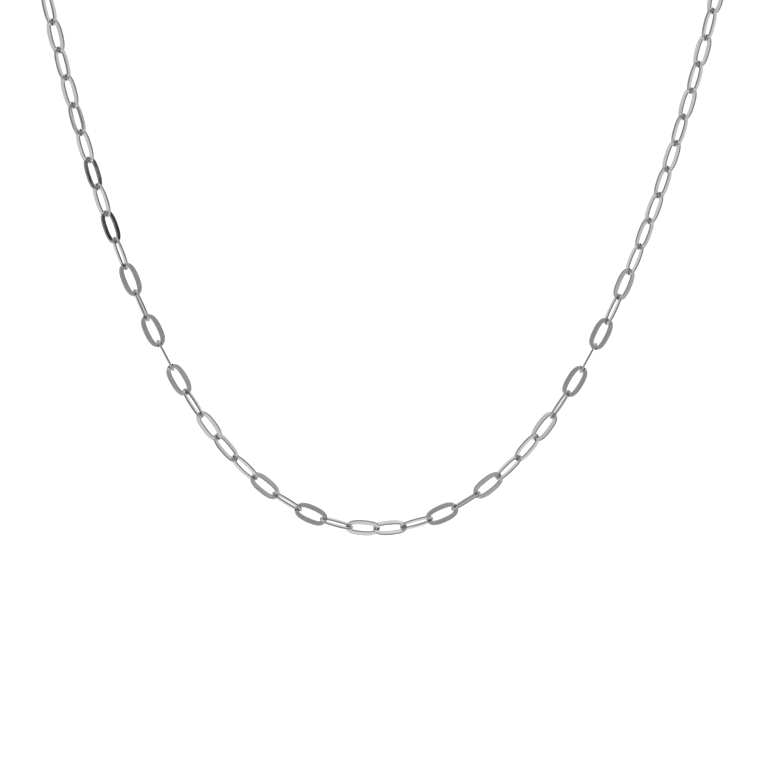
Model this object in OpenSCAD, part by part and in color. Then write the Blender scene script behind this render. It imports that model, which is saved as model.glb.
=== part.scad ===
// A fine paperclip chain necklace in polished white metal, closed by a bolt ring.
// The front hangs as a free chain in one upright plane. Past it, each side turns
// back over the shoulder and round the nape, where the necklace is held.
// Millimetres, +X to the right of someone who looks at the front, +Y to the wearer's back, +Z up.

/* [Link] */
// Outer length of a link
link_l = 5.6; // [5.4:0.1:6.4]
// Outer width of a link, across its two pressed sides
link_w = 3; // [2.9:0.1:3.6]
// Diameter of the round wire at a link's two ends
wire_d = 0.48; // [0.4:0.02:0.54]
// Width of a pressed side, seen from its flat face
side_w = 0.85; // [0.7:0.05:0.95]
// Thickness of a pressed side
side_t = 0.33; // [0.25:0.01:0.42]
// Clear gap between two hooked links where they pull on each other
link_gap = 0.2; // [0.16:0.01:0.24]

/* [Hang] */
// Radius of the chain's curve at its lowest point
hang_r = 24.9; // [22:0.5:28]
// Height of the upright front stretch above the lowest point
front_h = 98; // [80:1:110]
// Radius of the turn back over each shoulder
turn_r = 20; // [18:1:28]
// Wanted length of the straight run beside the neck, before it is set to whole links
side_run = 8; // [6:1:20]
// Rise of the chain from the shoulders to the nape, in degrees
nape_rise = 15; // [0:1:30]

/* [Clasp] */
// Outer diameter of the bolt ring
ring_d = 5.2; // [4.8:0.1:7]
// Diameter of the bolt ring's tube
ring_wire = 0.7; // [0.6:0.05:0.8]
// Outer diameter of the eye at the ring's tail
eye_d = 2.6; // [2.5:0.1:3.2]
// Diameter of the eye's wire
eye_wire = 0.7; // [0.6:0.05:0.8]
// Depth to which the eye is let into the ring's tube
eye_sink = 0.5; // [0.4:0.05:0.6]
// Diameter of the collar soldered round the joint of eye and ring
collar_d = 1.2; // [1:0.1:1.6]
// Length of that collar
collar_l = 1; // [0.8:0.1:1.4]
// Diameter of the thumb stud on the ring
stud_d = 0.7; // [0.5:0.05:0.8]
// Height of the thumb stud above the ring
stud_h = 0.9; // [0.5:0.1:1.4]
// Place of the thumb stud round the ring, in degrees from its far side
stud_turn = 55; // [35:5:75]

/* [Hidden] */
METAL = [0.78, 0.78, 0.79];
$fn = 48;

// A link is a ring of six-sided sections between an outer and an inner oval.
SECTIONS = 12;
OUTER_OVAL = 0.8;
INNER_OVAL = 0.7;
pitch = link_l - 2 * wire_d - link_gap;

function unit(v) = v / norm(v);
function blend(a, b, share) = a + (b - a) * share;
function power(v, p) = sign(v) * pow(abs(v), p);

// Corner s of an oval. The corners straddle the oval's tips, so that both ends are blunt.
function turn(s) = (s + 0.5) * 360 / SECTIONS;
function corner(length, width, oval, s) =
    [length * power(cos(turn(s)), oval), width * power(sin(turn(s)), oval)] / 2 / power(cos(turn(0)), oval);

// One section, from the outer oval to the inner one. It is regular at the link's ends and flattened along
// its sides.
function section(s) =
    let (
        outer = corner(link_l, link_w, OUTER_OVAL, s),
        inner = corner(link_l - 2 * wire_d, link_w - 2 * side_w, INNER_OVAL, s),
        outward = unit(outer - inner),
        reach = norm(outer - inner) / 2,
        pressed = min(1, 1 - cos(2 * turn(s)) / cos(2 * turn(0))),
        flat_z = blend(wire_d / 2 * sin(60), side_t / 2, pressed),
        flat_x = reach - flat_z / tan(60)
    )
    [
        for (c = [
            [reach, 0], [flat_x, flat_z], [-flat_x, flat_z],
            [-reach, 0], [-flat_x, -flat_z], [flat_x, -flat_z]
        ])
            let (p = (outer + inner) / 2 + outward * c.x) [p.x, p.y, c.y]
    ];

module link() {
    sides = 6;
    points = [for (s = [0:SECTIONS - 1]) each section(s)];
    faces = [
        for (s = [0:SECTIONS - 1], c = [0:sides - 1])
            let (
                here = s * sides,
                next = (s + 1) % SECTIONS * sides,
                side = (c + 1) % sides
            )
            each [[here + c, here + side, next + c], [here + side, next + side, next + c]]
    ];
    polyhedron(points, faces);
}

// The route of one side, from the lowest joint to the nape.
// It is the free hanging front, the turn over the shoulder, a straight run and the bend round the nape.
RIGHT = [1, 0, 0];
back_dir = [0, cos(nape_rise), sin(nape_rise)];
front_len = sqrt(pow(hang_r + front_h, 2) - pow(hang_r, 2));
front_dir = [hang_r, 0, front_len] / (hang_r + front_h);
turn_a = acos(front_dir * back_dir);
turn_side = unit(back_dir - (front_dir * back_dir) * front_dir);
turn_len = turn_r * turn_a * PI / 180;
turn_end = bend(hang(front_len), front_dir, turn_side, turn_r, turn_len);
nape_r = turn_end.x;
nape_len = nape_r * PI / 2;

// The clasp's own span from joint to joint, and the odd number of links that fits each side
ring_r = (ring_d - ring_wire) / 2;
eye_r = (eye_d - eye_wire) / 2;
eye_x = ring_d / 2 + eye_d / 2 - eye_sink;
clasp_span = eye_x + ring_r - ring_wire / 2 + eye_r - eye_wire / 2 - link_gap;
wanted_len = front_len + turn_len + side_run + nape_len - clasp_span / 2;
side_links = 2 * round((wanted_len / pitch - 1) / 2) + 1;
run_len = side_run + side_links * pitch - wanted_len;

function hang(s) =
    let (reach = sqrt(s * s + hang_r * hang_r))
    [hang_r * ln((s + reach) / hang_r), 0, reach - hang_r];
function bend(from, along, towards, r, s) =
    let (a = s / r * 180 / PI)
    from + r * (along * sin(a) + towards * (1 - cos(a)));
function route(s) =
    s < front_len ? hang(s)
    : s < front_len + turn_len ? bend(hang(front_len), front_dir, turn_side, turn_r, s - front_len)
    : s < front_len + turn_len + run_len ? turn_end + back_dir * (s - front_len - turn_len)
    : bend(turn_end + back_dir * run_len, back_dir, -RIGHT, nape_r, s - front_len - turn_len - run_len);

// Joint k is where links k - 1 and k pull on each other. Joint 0 is the lowest, and negative ones lie to the left.
// The clasp lies at the nape, between the last joint on each side.
function mirrored(v, k) = [k < 0 ? -v.x : v.x, v.y, v.z];
function joint(k) = mirrored(route(abs(k) * pitch), k);
nape = [0, joint(side_links).y, joint(side_links).z];
function along(k) = unit(joint(k + 1) - joint(k));

// The direction that a link with no roll faces: the viewer at the front, carried along the route without turning
function carried(v, t) = unit(v - (v * t) * t);
facing = [
    for (k = 0, v = [0, -1, 0]; k < side_links; k = k + 1, v = carried(v, along(k))) v
];
function face_dir(k) = k < 0 ? mirrored(facing[-1 - k], k) : facing[k];

// The slow twist along the chain as it hangs: the number of a link and its twist in degrees.
// The links between two rows take their share.
TWIST = [
    [-side_links - 1, 100],
    [-24, 50],
    [-18, 40],
    [-16, 35],
    [-15, 20],
    [-13, 10],
    [-11, 0],
    [-9, -25],
    [-6, -55],
    [-4, -70],
    [-2, -105],
    [1, -145],
    [3, -180],
    [5, -200],
    [8, -240],
    [10, -255],
    [12, -280],
    [15, -300],
    [24, -310],
    [side_links - 1, -350],
];
function roll(k) = lookup(k, TWIST) + 90 * (abs(k) % 2);

// Puts a link between its two joints, rolled about the line through them
module link_at(k) {
    t = along(k);
    facing_in = cross(face_dir(k), t);
    z = face_dir(k) * cos(roll(k)) + facing_in * sin(roll(k));
    y = cross(z, t);
    p = (joint(k) + joint(k + 1)) / 2;
    multmatrix([
        [t.x, y.x, z.x, p.x],
        [t.y, y.y, z.y, p.y],
        [t.z, y.z, z.z, p.z],
        [0, 0, 0, 1]
    ]) link();
}

// Moves what is built on the route so that the origin lies on the clasp's face against the nape
module held_at_nape() {
    translate(back_dir * ring_wire / 2 - nape) children();
}

module chain_left() {
    color(METAL) held_at_nape() for (k = [-side_links:-1]) link_at(k);
}

module chain_right() {
    color(METAL) held_at_nape() for (k = [0:side_links - 1]) link_at(k);
}

module torus(r, wire) {
    rotate_extrude() translate([r, 0]) circle(d = wire);
}

// The closed bolt ring, its soldered eye and its thumb stud, lying flat against the nape
module clasp() {
    ring_inner = ring_r - ring_wire / 2;
    color(METAL) held_at_nape() translate(nape) rotate([nape_rise - 90, 0, 0])
        translate([ring_inner - (clasp_span + link_gap) / 2, 0, 0]) {
            torus(ring_r, ring_wire);
            translate([eye_x, 0, 0]) torus(eye_r, eye_wire);
            translate([(ring_d - eye_sink) / 2 - collar_l / 2, 0, 0])
                rotate([0, 90, 0]) cylinder(d = collar_d, h = collar_l);
            rotate([0, 0, 180 - stud_turn]) translate([ring_r, 0, 0])
                rotate([0, 90, 0]) cylinder(d = stud_d, h = ring_wire / 2 + stud_h);
        }
}

chain_left();
chain_right();
clasp();
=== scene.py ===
import math

import bmesh
import bpy
from mathutils import Matrix, Vector


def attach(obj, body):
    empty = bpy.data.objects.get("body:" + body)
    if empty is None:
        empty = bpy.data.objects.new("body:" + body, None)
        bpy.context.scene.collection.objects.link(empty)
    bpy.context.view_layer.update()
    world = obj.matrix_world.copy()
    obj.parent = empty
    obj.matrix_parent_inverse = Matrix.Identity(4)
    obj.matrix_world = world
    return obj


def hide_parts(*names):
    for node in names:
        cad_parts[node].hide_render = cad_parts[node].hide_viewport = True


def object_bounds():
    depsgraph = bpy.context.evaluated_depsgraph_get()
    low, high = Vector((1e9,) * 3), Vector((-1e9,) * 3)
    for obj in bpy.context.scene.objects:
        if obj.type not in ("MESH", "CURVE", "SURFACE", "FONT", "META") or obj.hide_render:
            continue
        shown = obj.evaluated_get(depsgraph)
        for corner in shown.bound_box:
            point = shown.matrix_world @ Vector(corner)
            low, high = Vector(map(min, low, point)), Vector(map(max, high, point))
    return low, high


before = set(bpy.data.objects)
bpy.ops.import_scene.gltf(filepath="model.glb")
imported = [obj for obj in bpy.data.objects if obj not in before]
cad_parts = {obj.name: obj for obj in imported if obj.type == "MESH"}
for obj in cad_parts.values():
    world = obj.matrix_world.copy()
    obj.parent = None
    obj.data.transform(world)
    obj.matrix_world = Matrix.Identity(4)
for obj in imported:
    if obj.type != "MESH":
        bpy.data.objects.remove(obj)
cad_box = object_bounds()

# The line that the necklace hangs in. The front is a free chain in one upright plane. Past it, each
# side turns back over the shoulder and runs round the nape to the clasp. Links are numbered from the
# lowest joint, and the ones on the left are negative.
HANG_RADIUS = 0.0249
FRONT_HEIGHT = 0.098
TURN_RADIUS = 0.020
SIDE_RUN = 0.008
NAPE_RISE = math.radians(15)
LINK_LENGTH = 0.0056
PITCH = 0.00444

RIGHT = Vector((1, 0, 0))
FORWARD = Vector((0, -1, 0))
back_way = Vector((0, math.cos(NAPE_RISE), math.sin(NAPE_RISE)))
front_length = math.sqrt((HANG_RADIUS + FRONT_HEIGHT) ** 2 - HANG_RADIUS**2)
front_way = Vector((HANG_RADIUS, 0, front_length)) / (HANG_RADIUS + FRONT_HEIGHT)
turn_length = TURN_RADIUS * front_way.angle(back_way)
turn_side = (back_way - front_way.dot(back_way) * front_way).normalized()


def hanging(length):
    """The free chain, as far from its lowest joint as length says."""
    reach = math.hypot(length, HANG_RADIUS)
    return Vector((HANG_RADIUS * math.log((length + reach) / HANG_RADIUS), 0, reach - HANG_RADIUS))


def bent(start, way, side, radius, length):
    angle = length / radius
    return start + radius * (way * math.sin(angle) + side * (1 - math.cos(angle)))


front_end = hanging(front_length)
turn_end = bent(front_end, front_way, turn_side, TURN_RADIUS, turn_length)
nape_radius = turn_end.x

# The clasp's sizes decide how much of the line the links have to fill.
RING_DIAMETER = 0.0052
RING_TUBE = 0.0007
EYE_DIAMETER = 0.0026
EYE_WIRE = 0.0007
EYE_SINK = 0.0005
LINK_GAP = 0.0002
ring_radius = (RING_DIAMETER - RING_TUBE) / 2
eye_radius = (EYE_DIAMETER - EYE_WIRE) / 2
eye_place = RING_DIAMETER / 2 + EYE_DIAMETER / 2 - EYE_SINK
clasp_span = eye_place + ring_radius - RING_TUBE / 2 + eye_radius - EYE_WIRE / 2 - LINK_GAP

wanted = front_length + turn_length + SIDE_RUN + nape_radius * math.pi / 2 - clasp_span / 2
side_links = 2 * round((wanted / PITCH - 1) / 2) + 1
run_length = SIDE_RUN + side_links * PITCH - wanted
run_end = turn_end + back_way * run_length


def line(length):
    """A point of the right side's line, as far from the lowest joint as length says."""
    if length < front_length:
        return hanging(length)
    length -= front_length
    if length < turn_length:
        return bent(front_end, front_way, turn_side, TURN_RADIUS, length)
    length -= turn_length
    if length < run_length:
        return turn_end + back_way * length
    return bent(run_end, back_way, -RIGHT, nape_radius, length - run_length)


last_joint = line(side_links * PITCH)
nape = Vector((0, last_joint.y, last_joint.z))

# The whole necklace is moved so that the origin lies on the clasp's face against the nape.
held_at_nape = back_way * RING_TUBE / 2 - nape


def joint(number):
    """Where links number - 1 and number pull on each other."""
    place = line(abs(number) * PITCH)
    if number < 0:
        place.x = -place.x
    return place + held_at_nape


# The links. Each is a loop of drawn silver wire, bent to a long oval and soldered shut. Its two long
# sides are then rolled flat, so they are wider and thinner than the round ends that hook into the
# next links. Every link stands square to its neighbours, and the chain hangs with a slow twist.
LINK_WIDTH = 0.002996
SIDE_WIDTH = 0.00085
SIDE_THICKNESS = 0.00033
END_WIRE = 0.00055
EDGE_ROUNDING = 0.00010
OUTER_OVAL = 0.8
INNER_OVAL = 0.85
WIRE_SIDES = 16
STATIONS = 48

# The flats begin this many degrees past a link's tip and are full so many degrees further on.
FLAT_START = 6
FLAT_RUN_IN = 28

# The number of a link and its twist in degrees. The links between two rows take their share.
TWIST = (
    (-56, 100),
    (-24, 50),
    (-18, 40),
    (-16, 35),
    (-15, 20),
    (-13, 10),
    (-11, 0),
    (-9, -25),
    (-6, -55),
    (-4, -70),
    (-2, -105),
    (1, -145),
    (3, -180),
    (5, -200),
    (8, -240),
    (10, -255),
    (12, -280),
    (15, -300),
    (24, -310),
    (54, -350),
)


def power(value, exponent):
    return math.copysign(abs(value) ** exponent, value)


def oval(length, width, exponent, turn):
    """A point of an oval. An exponent under 1 makes it fuller than an ellipse."""
    x = length / 2 * power(math.cos(turn), exponent)
    y = width / 2 * power(math.sin(turn), exponent)
    return Vector((x, y, 0))


def blend(start, end, share):
    return start + (end - start) * share


def rolled(turn, angle, reach):
    """A point of the wire's outline: round at a link's ends, along its sides flat with rounded edges."""
    off_end = math.degrees(math.acos(min(abs(math.cos(turn)), 1)))
    share = min(max(off_end - FLAT_START, 0) / FLAT_RUN_IN, 1)
    pressed = share * share * (3 - 2 * share)
    quarter = math.acos(min(abs(math.cos(angle)), 1))
    step = round(math.degrees(quarter) * WIRE_SIDES / 360)
    flat_end = reach - EDGE_ROUNDING
    flat_up = SIDE_THICKNESS / 2
    out = (reach, reach, flat_end, flat_end - EDGE_ROUNDING / 2, 0)[step]
    up = (0, flat_up - EDGE_ROUNDING, flat_up, flat_up, flat_up)[step]
    out = blend(reach * math.cos(quarter), out, pressed)
    up = blend(END_WIRE / 2 * math.sin(quarter), up, pressed)
    return math.copysign(out, math.cos(angle)), math.copysign(up, math.sin(angle))


def form_link():
    """One link on its own, lying flat with its length along X."""
    link = bmesh.new()
    ring = LINK_LENGTH / 2
    bmesh.ops.create_circle(
        link,
        segments=WIRE_SIDES,
        radius=END_WIRE / 2,
        matrix=Matrix.Translation((ring, 0, 0)) @ Matrix.Rotation(math.pi / 2, 4, "X"),
    )
    bmesh.ops.spin(
        link,
        geom=link.verts[:] + link.edges[:],
        cent=(0, 0, 0),
        axis=(0, 0, 1),
        angle=math.tau,
        steps=STATIONS,
        use_merge=True,
    )
    bmesh.ops.recalc_face_normals(link, faces=link.faces[:])
    along_wire = link.loops.layers.uv.new("along_wire")
    turns = {vert: math.atan2(vert.co.y, vert.co.x) for vert in link.verts}
    angles = {vert: math.atan2(vert.co.z, math.hypot(vert.co.x, vert.co.y) - ring) for vert in link.verts}
    for face in link.faces:
        face.smooth = True
        middle = face.calc_center_median()
        turn = math.atan2(middle.y, middle.x)
        angle = math.atan2(middle.z, math.hypot(middle.x, middle.y) - ring)
        for loop in face.loops:
            near_turn = turn + math.remainder(turns[loop.vert] - turn, math.tau)
            near_angle = angle + math.remainder(angles[loop.vert] - angle, math.tau)
            loop[along_wire].uv = (near_turn / math.tau, near_angle / math.tau)
    for vert in link.verts:
        outer = oval(LINK_LENGTH, LINK_WIDTH, OUTER_OVAL, turns[vert])
        inner = oval(LINK_LENGTH - 2 * END_WIRE, LINK_WIDTH - 2 * SIDE_WIDTH, INNER_OVAL, turns[vert])
        out, up = rolled(turns[vert], angles[vert], (outer - inner).length / 2)
        vert.co = (outer + inner) / 2 + (outer - inner).normalized() * out + Vector((0, 0, up))
    mesh = bpy.data.meshes.new("one_link")
    link.to_mesh(mesh)
    link.free()
    return mesh


def twist_of(number):
    low = [row for row in TWIST if row[0] <= number][-1]
    high = [row for row in TWIST if row[0] >= number][0]
    return blend(low[1], high[1], (number - low[0]) / max(high[0] - low[0], 1))


def carried(way, along):
    return (way - way.dot(along) * along).normalized()


def place_of_link(number, facing):
    """Puts a link between its two joints, rolled about the line through them."""
    start, end = joint(number), joint(number + 1)
    along = (end - start).normalized()
    roll = math.radians(twist_of(number) + 90 * (number % 2))
    up = facing * math.cos(roll) + facing.cross(along) * math.sin(roll)
    across = up.cross(along)
    middle = (start + end) / 2
    return Matrix.Translation(middle) @ Matrix((along, across, up)).transposed().to_4x4()


def facings():
    """The direction that a link with no roll faces, for every link: the front, carried along the line."""
    found = {}
    way = FORWARD
    for number in range(side_links):
        way = carried(way, joint(number + 1) - joint(number))
        found[number] = way
        found[-1 - number] = Vector((-way.x, way.y, way.z))
    return found


def as_object(name, form):
    """Makes an object of a finished form."""
    mesh = bpy.data.meshes.new(name)
    form.to_mesh(mesh)
    form.free()
    piece = bpy.data.objects.new(name, mesh)
    bpy.context.scene.collection.objects.link(piece)
    return piece


# How far apart two links lie on the wire from which the streaks are taken, in turns of a link. It is
# a whole number, so that every link keeps its tips and its edges at the same places in its turn.
WIRE_BETWEEN_LINKS = 3


def hook_together(name, numbers):
    """One half of the chain: closed links, each with its own stretch of the wire's streaks."""
    chain = bmesh.new()
    for number in numbers:
        before, faces_before = len(chain.verts), len(chain.faces)
        chain.from_mesh(one_link)
        chain.verts.ensure_lookup_table()
        chain.faces.ensure_lookup_table()
        bmesh.ops.transform(chain, matrix=place_of_link(number, facing[number]), verts=chain.verts[before:])
        along_wire = chain.loops.layers.uv["along_wire"]
        for face in chain.faces[faces_before:]:
            for loop in face.loops:
                loop[along_wire].uv += Vector((number, number)) * WIRE_BETWEEN_LINKS
    return as_object(name, chain)


def drawn_polish():
    """Streaks and slow waves that drawing and rolling leave in the metal, softened by the polish."""
    polish = bpy.data.node_groups.new("drawn_polish", "ShaderNodeTree")
    polish.interface.new_socket("Place", in_out="INPUT", socket_type="NodeSocketVector")
    polish.interface.new_socket("Colour", in_out="OUTPUT", socket_type="NodeSocketColor")
    polish.interface.new_socket("Roughness", in_out="OUTPUT", socket_type="NodeSocketFloat")
    polish.interface.new_socket("Height", in_out="OUTPUT", socket_type="NodeSocketFloat")
    start = polish.nodes.new("NodeGroupInput")
    end = polish.nodes.new("NodeGroupOutput")
    lay = polish.nodes.new("ShaderNodeMapping")
    lay.inputs["Scale"].default_value = (5, 22, 22)
    polish.links.new(start.outputs["Place"], lay.inputs["Vector"])
    streaks = polish.nodes.new("ShaderNodeTexNoise")
    streaks.inputs["Scale"].default_value = 1
    streaks.inputs["Detail"].default_value = 4
    streaks.inputs["Roughness"].default_value = 0.6
    polish.links.new(lay.outputs["Vector"], streaks.inputs["Vector"])
    clouds = polish.nodes.new("ShaderNodeTexNoise")
    clouds.inputs["Scale"].default_value = 6
    clouds.inputs["Detail"].default_value = 2
    polish.links.new(start.outputs["Place"], clouds.inputs["Vector"])
    colours = polish.nodes.new("ShaderNodeValToRGB")
    colours.color_ramp.elements[0].position = 0.3
    colours.color_ramp.elements[0].color = (0.66, 0.66, 0.672, 1)
    colours.color_ramp.elements[1].position = 0.62
    colours.color_ramp.elements[1].color = (0.86, 0.86, 0.865, 1)
    polish.links.new(streaks.outputs["Fac"], colours.inputs["Fac"])
    uneven = polish.nodes.new("ShaderNodeMath")
    uneven.operation = "ADD"
    polish.links.new(streaks.outputs["Fac"], uneven.inputs[0])
    polish.links.new(clouds.outputs["Fac"], uneven.inputs[1])
    dull = polish.nodes.new("ShaderNodeMapRange")
    dull.inputs["From Min"].default_value = 0.7
    dull.inputs["From Max"].default_value = 1.3
    dull.inputs["To Min"].default_value = 0.10
    dull.inputs["To Max"].default_value = 0.24
    polish.links.new(uneven.outputs["Value"], dull.inputs["Value"])
    polish.links.new(colours.outputs["Color"], end.inputs["Colour"])
    polish.links.new(dull.outputs["Result"], end.inputs["Roughness"])

    # The slow waves stand twelve times as high as the streaks.
    waves = polish.nodes.new("ShaderNodeMath")
    waves.operation = "MULTIPLY_ADD"
    waves.inputs[1].default_value = 12
    polish.links.new(clouds.outputs["Fac"], waves.inputs[0])
    polish.links.new(streaks.outputs["Fac"], waves.inputs[2])
    polish.links.new(waves.outputs["Value"], end.inputs["Height"])
    return polish


def polished_silver(name, height):
    """White metal with its polish in relief. What places the streaks on a piece is linked afterwards."""
    metal = bpy.data.materials.new(name)
    metal.use_nodes = True
    nodes, wires = metal.node_tree.nodes, metal.node_tree.links
    shader = nodes["Principled BSDF"]
    shader.inputs["Metallic"].default_value = 1
    surface = nodes.new("ShaderNodeGroup")
    surface.name = "surface"
    surface.node_tree = polish_group
    wires.new(surface.outputs["Colour"], shader.inputs["Base Color"])
    wires.new(surface.outputs["Roughness"], shader.inputs["Roughness"])
    relief = nodes.new("ShaderNodeBump")
    relief.inputs["Strength"].default_value = 0.6
    relief.inputs["Distance"].default_value = height
    wires.new(surface.outputs["Height"], relief.inputs["Height"])
    wires.new(relief.outputs["Normal"], shader.inputs["Normal"])
    return metal


one_link = form_link()
facing = facings()
polish_group = drawn_polish()
link_metal = polished_silver("link_silver", height=0.000004)
nodes, wires = link_metal.node_tree.nodes, link_metal.node_tree.links
surface, shader = nodes["surface"], nodes["Principled BSDF"]
wire_place = nodes.new("ShaderNodeUVMap")
wire_place.uv_map = "along_wire"
wires.new(wire_place.outputs["UV"], surface.inputs["Place"])
along_and_round = nodes.new("ShaderNodeSeparateXYZ")
wires.new(wire_place.outputs["UV"], along_and_round.inputs["Vector"])


def twice_a_turn(way, start, full):
    """A mask that comes twice in a turn: along the wire (X) at both tips, round it (Y) at both edges.

    start and full are cosines, which are 1 at the tips or edges and -1 halfway between them.
    """
    angle = nodes.new("ShaderNodeMath")
    angle.operation = "MULTIPLY"
    angle.inputs[1].default_value = 2 * math.tau
    wires.new(along_and_round.outputs[way], angle.inputs[0])
    wave = nodes.new("ShaderNodeMath")
    wave.operation = "COSINE"
    wires.new(angle.outputs["Value"], wave.inputs[0])
    mask = nodes.new("ShaderNodeMapRange")
    mask.interpolation_type = "SMOOTHSTEP"
    mask.inputs["From Min"].default_value = start
    mask.inputs["From Max"].default_value = full
    wires.new(wave.outputs["Value"], mask.inputs["Value"])
    return mask.outputs["Result"]


def both(first, second):
    """A mask that is full only where both masks are."""
    product = nodes.new("ShaderNodeMath")
    product.operation = "MULTIPLY"
    wires.new(first, product.inputs[0])
    wires.new(second, product.inputs[1])
    return product.outputs["Value"]


def toned(mask, colour, shade):
    """The colour, with the shade in its place where the mask is full.

    A mix node's colours are its inputs 6 and 7 and its output 2.
    """
    mix = nodes.new("ShaderNodeMix")
    mix.data_type = "RGBA"
    wires.new(mask, mix.inputs["Factor"])
    wires.new(colour, mix.inputs[6])
    mix.inputs[7].default_value = shade
    return mix.outputs[2]


# The rolled edges are painted darker than the flats, as painted shade. Painted shade also lies in near-black
# flecks on each end wire beside the hooks, but not right at the tips.
EDGE_SHADE = (0.40, 0.40, 0.405, 1)
HOOK_SHADE = (0.04, 0.04, 0.042, 1)
# Painted shade: the rolled edges, away from the tips, get a darker colour than the flats.
edges = both(twice_a_turn("Y", start=0.05, full=0.7), twice_a_turn("X", start=0.7, full=0))
fleck_place = nodes.new("ShaderNodeMapping")
fleck_place.inputs["Scale"].default_value = (60, 5, 1)
wires.new(wire_place.outputs["UV"], fleck_place.inputs["Vector"])
flecks = nodes.new("ShaderNodeTexNoise")
flecks.inputs["Scale"].default_value = 1
flecks.inputs["Detail"].default_value = 1
wires.new(fleck_place.outputs["Vector"], flecks.inputs["Vector"])
# Painted shade: flecks on the end wires beside the hooks are painted nearly black.
fleck_shade = nodes.new("ShaderNodeMapRange")
fleck_shade.inputs["From Min"].default_value = 0.38
fleck_shade.inputs["From Max"].default_value = 0.48
wires.new(flecks.outputs["Fac"], fleck_shade.inputs["Value"])
near_tips = twice_a_turn("X", start=0.80, full=0.89)
off_tips = twice_a_turn("X", start=0.992, full=0.975)
shade_by_hooks = both(fleck_shade.outputs["Result"], both(near_tips, off_tips))
# Painted shade goes into the base colour: first the darker edges, then the near-black flecks by the hooks.
edge_shaded = toned(edges, surface.outputs["Colour"], EDGE_SHADE)
wires.new(toned(shade_by_hooks, edge_shaded, HOOK_SHADE), shader.inputs["Base Color"])

for side, numbers in (("left", range(-side_links, 0)), ("right", range(side_links))):
    half = hook_together(f"links_{side}", numbers)
    half.data.materials.append(link_metal)
    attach(half, "root")
    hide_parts(f"chain_{side}")

# The clasp. A bolt ring: a bent tube whose gap is closed by a sprung bolt, with a thumb stud to pull
# the bolt back. A wire eye is soldered to its tail under a collar. It lies flat against the nape.
STUD_DIAMETER = 0.0007
STUD_HEIGHT = 0.0009
STUD_ROUNDING = 0.00018
COLLAR_DIAMETER = 0.0012
COLLAR_LENGTH = 0.001
COLLAR_ROUNDING = 0.00015

# The bolt's thickness as a share of the tube's, and the rounding of a cut end as a share of its bar's
BOLT_SHARE = 0.76
RIM_SHARE = 0.08

# Angles round the ring, counted from its eye. The bolt runs on inside the tube past both ends of the gap.
STUD_TURN = math.radians(125)
GAP_START = math.radians(60)
GAP_END = math.radians(92)
BOLT_LET_IN = 0.2


def add_to(form, piece):
    """Puts a finished piece into the form, shaded smooth."""
    for face in piece.faces:
        face.smooth = True
    mesh = bpy.data.meshes.new("piece")
    piece.to_mesh(mesh)
    piece.free()
    form.from_mesh(mesh)
    bpy.data.meshes.remove(mesh)


def bent_round(form, radius, thickness, start, sweep, steps):
    """Round bar or tube, bent about the origin in the XY plane, with closed ends if it isn't a full ring."""
    full = sweep > math.radians(359)
    ring = bmesh.new()
    upright = Matrix.Rotation(math.pi / 2, 4, "X")
    place = Matrix.Rotation(start, 4, "Z") @ Matrix.Translation((radius, 0, 0)) @ upright
    bmesh.ops.create_circle(ring, segments=24, radius=thickness / 2, matrix=place)
    bmesh.ops.spin(
        ring,
        geom=ring.verts[:] + ring.edges[:],
        cent=(0, 0, 0),
        axis=(0, 0, 1),
        angle=sweep,
        steps=steps,
        use_merge=full,
    )
    if not full:
        ends = [edge for edge in ring.edges if edge.is_boundary]
        caps = bmesh.ops.holes_fill(ring, edges=ends, sides=24)["faces"]
        rims = [edge for cap in caps for edge in cap.edges]
        bmesh.ops.bevel(
            ring,
            geom=rims,
            offset=thickness * RIM_SHARE,
            segments=2,
            profile=0.5,
            affect="EDGES",
            material=-1,
        )
    bmesh.ops.recalc_face_normals(ring, faces=ring.faces[:])
    add_to(form, ring)


def turned(form, diameter, length, rounding, place):
    """A short round bar with rounded rims, along Z from its own origin."""
    bar = bmesh.new()
    bmesh.ops.create_cone(
        bar,
        cap_ends=True,
        segments=32,
        radius1=diameter / 2,
        radius2=diameter / 2,
        depth=length,
        matrix=Matrix.Translation((0, 0, length / 2)),
    )
    rims = [edge for edge in bar.edges if abs(edge.verts[0].co.z - edge.verts[1].co.z) < length / 2]
    bmesh.ops.bevel(
        bar, geom=rims, offset=rounding, segments=4, profile=0.5, affect="EDGES", material=-1
    )
    bmesh.ops.transform(bar, matrix=place, verts=bar.verts[:])
    add_to(form, bar)


bolt_ring = bmesh.new()
gap = GAP_END - GAP_START
bolt_start = GAP_START - BOLT_LET_IN
bent_round(bolt_ring, ring_radius, RING_TUBE, GAP_END, math.tau - gap, steps=60)
bent_round(bolt_ring, ring_radius, RING_TUBE * BOLT_SHARE, bolt_start, gap + 2 * BOLT_LET_IN, steps=12)
eye = bmesh.new()
bent_round(eye, eye_radius, EYE_WIRE, 0, math.tau, steps=48)
bmesh.ops.translate(eye, verts=eye.verts[:], vec=(eye_place, 0, 0))
add_to(bolt_ring, eye)
towards_eye = Matrix.Rotation(math.pi / 2, 4, "Y")
collar_start = (RING_DIAMETER - EYE_SINK - COLLAR_LENGTH) / 2
collar_place = Matrix.Translation((collar_start, 0, 0)) @ towards_eye
turned(bolt_ring, COLLAR_DIAMETER, COLLAR_LENGTH, COLLAR_ROUNDING, collar_place)
stud_place = Matrix.Rotation(STUD_TURN, 4, "Z") @ Matrix.Translation((ring_radius, 0, 0)) @ towards_eye
turned(bolt_ring, STUD_DIAMETER, RING_TUBE / 2 + STUD_HEIGHT, STUD_ROUNDING, stud_place)
ring_to_middle = ring_radius - RING_TUBE / 2 - (clasp_span + LINK_GAP) / 2
lies_flat = Matrix.Translation(held_at_nape + nape) @ Matrix.Rotation(NAPE_RISE - math.pi / 2, 4, "X")
clasp_place = lies_flat @ Matrix.Translation((ring_to_middle, 0, 0))
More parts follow.
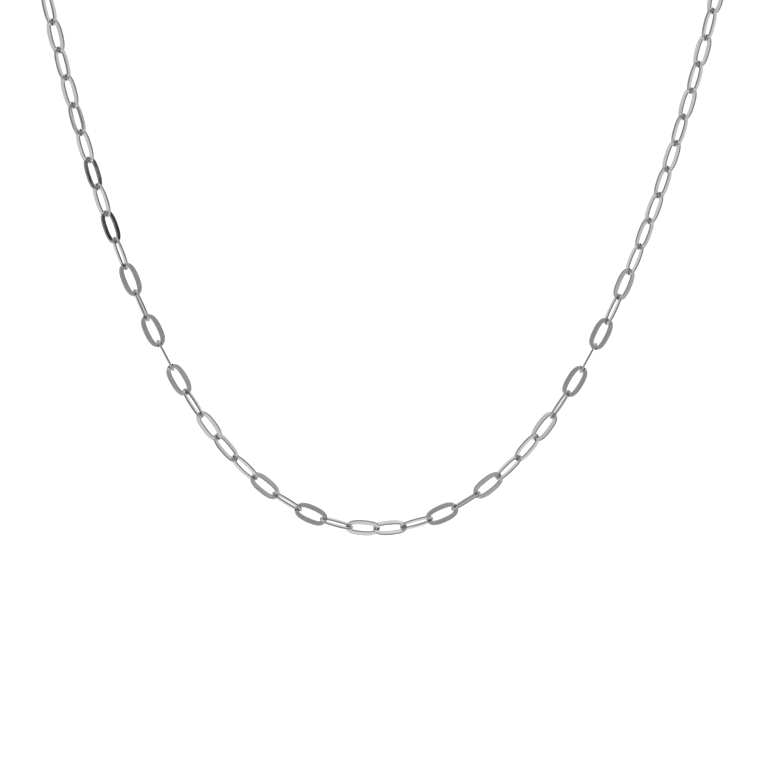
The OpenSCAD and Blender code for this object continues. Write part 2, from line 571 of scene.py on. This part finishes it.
bmesh.ops.transform(bolt_ring, matrix=clasp_place, verts=bolt_ring.verts[:])
clasp = as_object("bolt_ring", bolt_ring)
clasp_metal = polished_silver("clasp_silver", height=0.0000012)
nodes, wires = clasp_metal.node_tree.nodes, clasp_metal.node_tree.links
on_clasp = nodes.new("ShaderNodeTexCoord")
finer = nodes.new("ShaderNodeMapping")
finer.inputs["Scale"].default_value = (300, 300, 300)
wires.new(on_clasp.outputs["Object"], finer.inputs["Vector"])
wires.new(finer.outputs["Vector"], nodes["surface"].inputs["Place"])
clasp.data.materials.append(clasp_metal)
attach(clasp, "root")
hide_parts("clasp")

# The floor. The necklace hangs well above a plain white one, lit from within so that it has no edge
# against the background. The polished metal mirrors the studio round it, not the floor.
FLOOR_DROP = 0.12
FLOOR_RADIUS = 6
floor_form = bmesh.new()
bmesh.ops.create_circle(floor_form, cap_ends=True, segments=64, radius=FLOOR_RADIUS)
bmesh.ops.translate(floor_form, verts=floor_form.verts[:], vec=(0, 0, cad_box[0][2] - FLOOR_DROP))
floor = as_object("floor", floor_form)
floor.visible_glossy = False
floor_paint = bpy.data.materials.new("white_floor")
floor_paint.use_nodes = True
paint = floor_paint.node_tree.nodes["Principled BSDF"].inputs
paint["Base Color"].default_value = (0.9, 0.9, 0.9, 1)
paint["Roughness"].default_value = 1
paint["Specular IOR Level"].default_value = 0
paint["Emission Color"].default_value = (1, 1, 1, 1)
paint["Emission Strength"].default_value = 0.6
floor.data.materials.append(floor_paint)

# The studio. Soft white light comes from all round. It is strongest behind the necklace, where a white
# screen stands, and falls off to a shaded room on the camera's side. The floor and the ceiling throw
# light back. A dark card stands at the right, and a softer grey one in front of the screen.
TOWARDS_SCREEN = (-0.029, 0.974, -0.226)
TOWARDS_CARD = (0.911, -0.302, 0.279)
TOWARDS_BACK_CARD = (-0.187, 0.978, 0.089)
ROOM_TONES = ((0, 0.35), (0.05, 0.3), (0.25, 0.55), (0.5, 0.7), (0.75, 0.75), (1, 0.75))
BOUNCE_TONE = 0.85
BOUNCE_SHARES = ((0, 0.75), (0.375, 0), (0.75, 0), (1, 0.8))
world = bpy.data.worlds.new("studio")
bpy.context.scene.world = world
world.use_nodes = True
nodes, wires = world.node_tree.nodes, world.node_tree.links
nodes.clear()
ways = nodes.new("ShaderNodeTexCoord")


def grey(tone):
    return (tone, tone, tone, 1)


def towards(way):
    """How far a ray goes the given way: 1 right along it, 0 square to it and -1 against it."""
    product = nodes.new("ShaderNodeVectorMath")
    product.operation = "DOT_PRODUCT"
    product.inputs[1].default_value = way
    wires.new(ways.outputs["Generated"], product.inputs[0])
    return product.outputs["Value"]


def graded(value, tones):
    """Tones that follow a value from -1 to 1. Each has its place on that way, counted from 0 to 1."""
    share = nodes.new("ShaderNodeMapRange")
    share.inputs["From Min"].default_value = -1
    share.inputs["From Max"].default_value = 1
    wires.new(value, share.inputs["Value"])
    ramp = nodes.new("ShaderNodeValToRGB")
    wires.new(share.outputs["Result"], ramp.inputs["Fac"])
    ramp.color_ramp.elements[0].color = grey(tones[0][1])
    ramp.color_ramp.elements[1].color = grey(tones[-1][1])
    for place, tone in tones[1:-1]:
        ramp.color_ramp.elements.new(place).color = grey(tone)
    return ramp.outputs["Color"]


def with_card(light, way, start, full, tone):
    """Stands a card in the light, with its middle in the given way.

    It fades in from start degrees off its middle, and from full degrees inwards it has its whole tone.
    """
    card = nodes.new("ShaderNodeMapRange")
    card.interpolation_type = "SMOOTHSTEP"
    card.inputs["From Min"].default_value = math.cos(math.radians(start))
    card.inputs["From Max"].default_value = math.cos(math.radians(full))
    wires.new(towards(way), card.inputs["Value"])
    return toned(card.outputs["Result"], light, grey(tone))


height = nodes.new("ShaderNodeSeparateXYZ")
wires.new(ways.outputs["Generated"], height.inputs["Vector"])
room = graded(towards(TOWARDS_SCREEN), ROOM_TONES)
bounce = graded(height.outputs["Z"], BOUNCE_SHARES)
lit = toned(bounce, room, grey(BOUNCE_TONE))
lit = with_card(lit, TOWARDS_CARD, start=18, full=13, tone=0.025)
lit = with_card(lit, TOWARDS_BACK_CARD, start=18, full=9, tone=0.28)
mirrored = nodes.new("ShaderNodeBackground")
wires.new(lit, mirrored.inputs["Color"])

# What the camera sees past the necklace is pure white.
white = nodes.new("ShaderNodeBackground")
white.inputs["Color"].default_value = grey(1.1)
seen = nodes.new("ShaderNodeLightPath")
chosen = nodes.new("ShaderNodeMixShader")
wires.new(seen.outputs["Is Camera Ray"], chosen.inputs["Fac"])
wires.new(mirrored.outputs["Background"], chosen.inputs[1])
wires.new(white.outputs["Background"], chosen.inputs[2])
out = nodes.new("ShaderNodeOutputWorld")
wires.new(chosen.outputs["Shader"], out.inputs["Surface"])
bpy.context.scene.view_settings.view_transform = "Standard"

# The camera stands in front of the hanging stretch, a little to the viewer's left, and looks
# slightly down through a long lens.
LENS_REACH = 0.4546
LENS_ANGLE = math.radians(15.51)
AIM = Vector((0.00082, -0.07848, -0.11059))
CAMERA_TURN = math.radians(-9.1)
CAMERA_TILT = math.radians(-4.85)
CAMERA_ROLL = math.radians(1)
camera = bpy.data.objects.new("camera", bpy.data.cameras.new("camera"))
camera.data.sensor_width = 36
camera.data.angle = LENS_ANGLE
camera.data.clip_start = 0.01
looks = Matrix.Rotation(CAMERA_TURN, 4, "Z") @ Matrix.Rotation(math.pi / 2 + CAMERA_TILT, 4, "X")
stands = Matrix.Translation(AIM + looks @ Vector((0, 0, LENS_REACH)))
camera.matrix_world = stands @ looks @ Matrix.Rotation(CAMERA_ROLL, 4, "Z")
bpy.context.scene.collection.objects.link(camera)
bpy.context.scene.camera = camera
